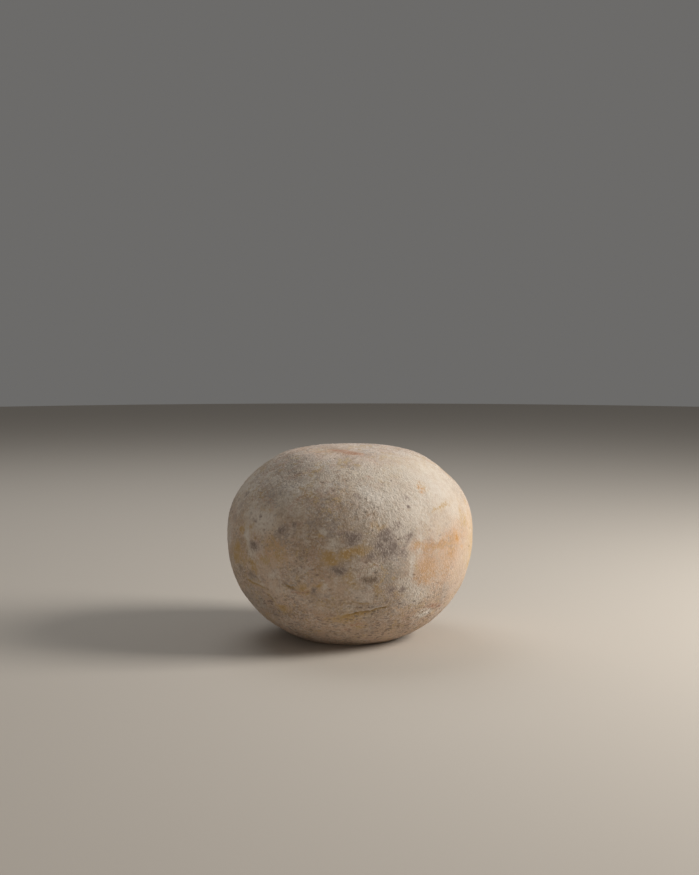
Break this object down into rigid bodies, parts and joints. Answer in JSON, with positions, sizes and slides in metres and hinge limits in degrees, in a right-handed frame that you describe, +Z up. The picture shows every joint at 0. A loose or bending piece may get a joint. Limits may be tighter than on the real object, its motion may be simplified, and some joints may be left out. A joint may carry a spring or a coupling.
{
  "type": "ball cheese",
  "caption": "Ball of aged natural-rind cheese, round with a flattened top and a small flat foot, for display on a shelf, board or counter.",
  "frame": {"origin": "middle of the flat foot that the ball rests on, at the bottom of its box", "axes": "+Z up along the axis the ball was turned about, -Y towards the side that shows the long crease, +X to the right of that side"},
  "size_m": [0.185, 0.1849, 0.1445],
  "materials": {
    "rind": "matte"
  },
  "bodies": {
    "root": {"cheese_ball": "rind"}
  },
  "joints": []
}
